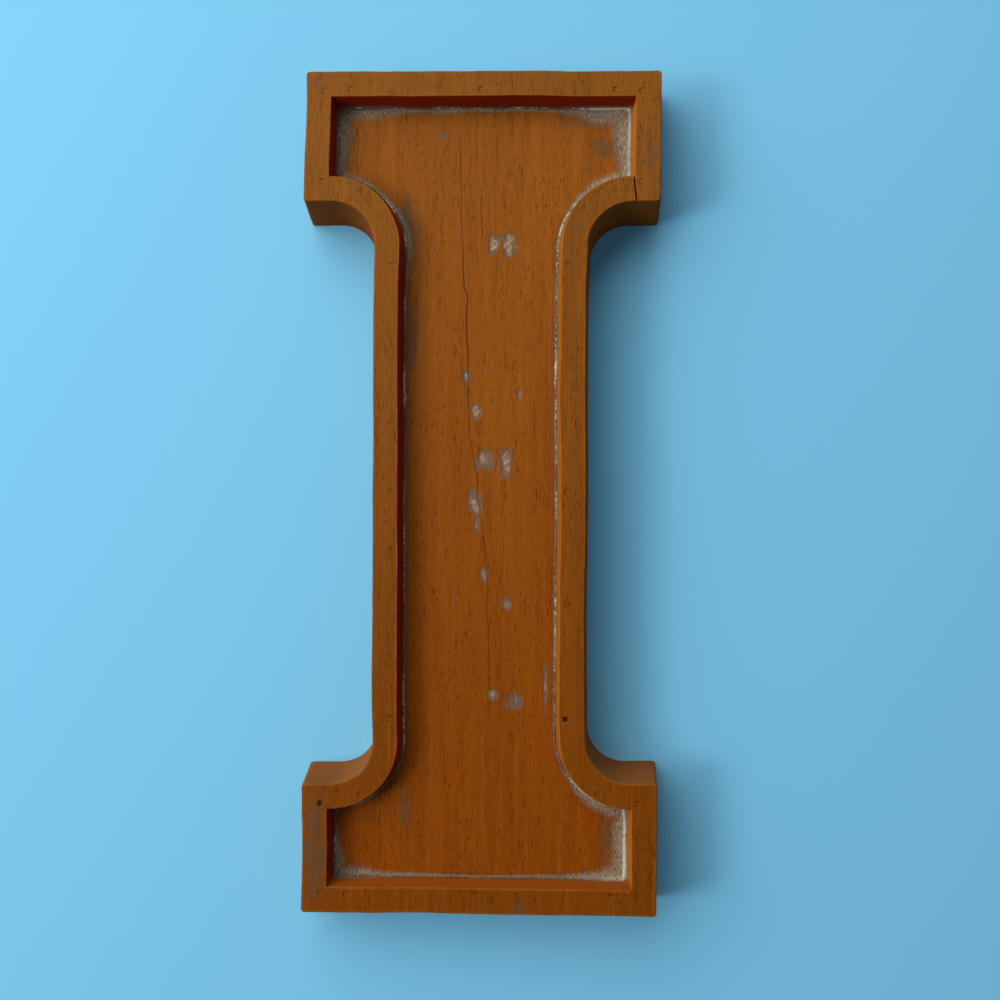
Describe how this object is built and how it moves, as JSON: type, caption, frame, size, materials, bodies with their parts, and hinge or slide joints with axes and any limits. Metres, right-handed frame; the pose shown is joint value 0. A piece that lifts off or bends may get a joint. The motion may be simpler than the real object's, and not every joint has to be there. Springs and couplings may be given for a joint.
{
  "type": "sign letter",
  "caption": "Painted wooden block capital I with slab serifs, hollow brackets and a sunk panel inside a raised border, built up from glued and bradded pieces.",
  "frame": {"origin": "centre of the flat back face", "axes": "+X to the letter's right, +Y to its top, +Z out of its front face"},
  "size_m": [0.1312, 0.3042, 0.024],
  "materials": {
    "painted_board": "worn thin burnt-orange paint over open-pored hardwood",
    "painted_border": "worn thin burnt-orange paint over open-pored hardwood, rubbed pale at the edges",
    "panel_putty": "dry filler, dirty grey",
    "brad_steel": "dull, lightly rusted",
    "painted_putty": "dry filler under the same thin paint"
  },
  "bodies": {
    "root": {"back_board": "painted_board", "top_rail": "painted_border", "bottom_rail": "painted_border", "top_left_end": "painted_border", "top_right_end": "painted_border", "bottom_left_end": "painted_border", "bottom_right_end": "painted_border", "left_stem_side": "painted_border", "right_stem_side": "painted_border", "panel_putty": "panel_putty", "brads": "brad_steel", "brad_stoppings": "painted_putty"}
  },
  "joints": []
}
